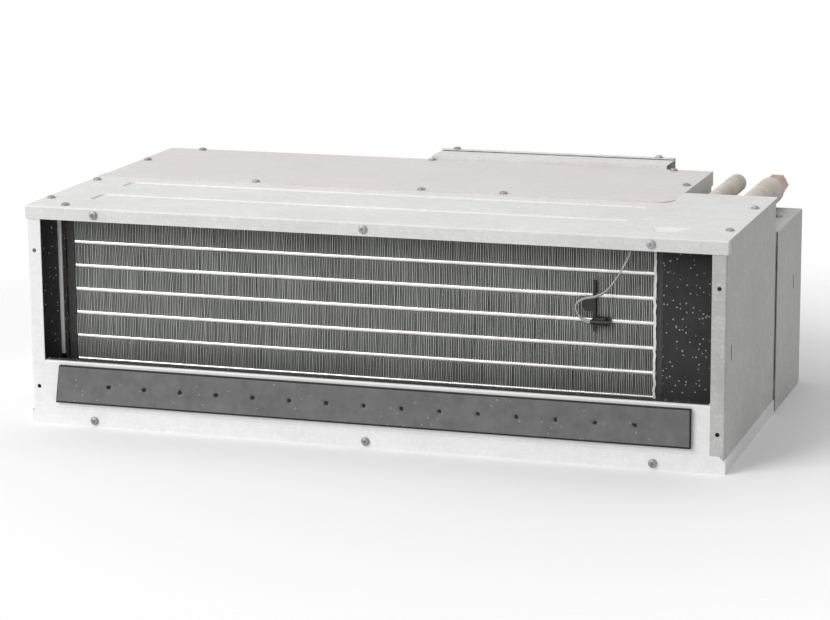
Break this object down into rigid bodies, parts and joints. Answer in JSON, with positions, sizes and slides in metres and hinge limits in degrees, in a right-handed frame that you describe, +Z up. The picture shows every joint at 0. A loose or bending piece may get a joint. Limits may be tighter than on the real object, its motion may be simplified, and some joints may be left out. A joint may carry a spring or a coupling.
{
  "type": "air conditioner indoor unit",
  "caption": "Concealed ducted indoor unit: flat sheet-steel casing with finned cooling coil behind the air outlet, twin centrifugal fans, drain pan, pipe connections and control box.",
  "frame": {"origin": "middle of the bounding box, on the plane that the bottom tray stands on", "axes": "+X towards the pipe side, along the long side; +Y from the air outlet to the rear; +Z up"},
  "size_m": [0.772, 0.4716, 0.2436],
  "materials": {
    "casing_steel": "galvanised sheet steel",
    "foam_black": "closed-cell insulating foam",
    "foam_strip": "cut foam strip",
    "fin_aluminium": "thin hydrophilic fins",
    "copper": "drawn copper",
    "brass": "turned brass",
    "pan_plastic": "moulded pan",
    "drain_plastic": "moulded socket",
    "housing_plastic": "moulded housing",
    "wheel_plastic": "moulded blower wheel",
    "motor_paint": "painted steel shell",
    "bright_steel": "zinc plated",
    "rubber": "moulded rubber",
    "board_green": "coated circuit board",
    "terminal_plastic": "moulded insulation",
    "sleeve_foam": "polyethylene foam sleeve",
    "sensor_plastic": "moulded holder",
    "wire_grey": "insulated wire"
  },
  "bodies": {
    "casing": {"bottom_tray": "casing_steel", "cable_bushes": "rubber", "casing_screws": "bright_steel", "circuit_board": "board_green", "coil_fins": "fin_aluminium", "coil_left_end_plate": "casing_steel", "coil_right_end_plate": "casing_steel", "coil_top_seal": "foam_black", "coil_tubes": "copper", "control_box_case": "casing_steel", "control_box_cover": "casing_steel", "drain_pan": "pan_plastic", "drain_socket": "drain_plastic", "fan_capacitor": "terminal_plastic", "fan_deck": "casing_steel", "fan_motor": "motor_paint", "front_foam_strip": "foam_strip", "front_lower_plate": "casing_steel", "gas_header": "copper", "gas_pipe": "copper", "gas_pipe_sleeve": "sleeve_foam", "gas_union": "brass", "left_blanking_foam": "foam_black", "left_blanking_plate": "casing_steel", "left_fan_housing_lower": "housing_plastic", "left_fan_housing_upper": "housing_plastic", "left_return_bends": "copper", "left_side_panel": "casing_steel", "liquid_distributor": "copper", "liquid_pipe": "copper", "liquid_pipe_sleeve": "sleeve_foam", "motor_clamps": "casing_steel", "motor_cradle": "casing_steel", "motor_rubber_rings": "rubber", "pipe_bay_partition": "casing_steel", "pipe_plate": "casing_steel", "rear_panel": "casing_steel", "rear_section_side_panel": "casing_steel", "right_blanking_foam": "foam_black", "right_blanking_plate": "casing_steel", "right_fan_housing_lower": "housing_plastic", "right_fan_housing_upper": "housing_plastic", "right_return_bends": "copper", "right_side_panel": "casing_steel", "sensor_bulb": "bright_steel", "sensor_holder": "sensor_plastic", "sensor_lead": "wire_grey", "sensor_lead_clip": "sensor_plastic", "terminal_block": "terminal_plastic", "top_front_panel": "casing_steel", "top_rear_panel": "casing_steel", "transformer": "terminal_plastic", "wiring_duct": "casing_steel", "wiring_duct_lid": "casing_steel"},
    "fan_rotor": {"fan_shaft": "bright_steel", "left_fan_wheel": "wheel_plastic", "right_fan_wheel": "wheel_plastic"},
    "gas_nut": {"gas_flare_nut": "brass"},
    "liquid_nut": {"liquid_flare_nut": "brass"}
  },
  "joints": [
    {"name": "fan_spin", "type": "hinge", "parent": "casing", "child": "fan_rotor", "pos_m": [-0.039, 0.0532, 0.118], "axis": [1, 0, 0], "continuous": true},
    {"name": "gas_nut_turn", "type": "hinge", "parent": "casing", "child": "gas_nut", "pos_m": [0.3485, 0.1942, 0.214], "axis": [0, 1, 0], "continuous": true},
    {"name": "liquid_nut_turn", "type": "hinge", "parent": "casing", "child": "liquid_nut", "pos_m": [0.311, 0.1732, 0.221], "axis": [0, 1, 0], "continuous": true}
  ]
}
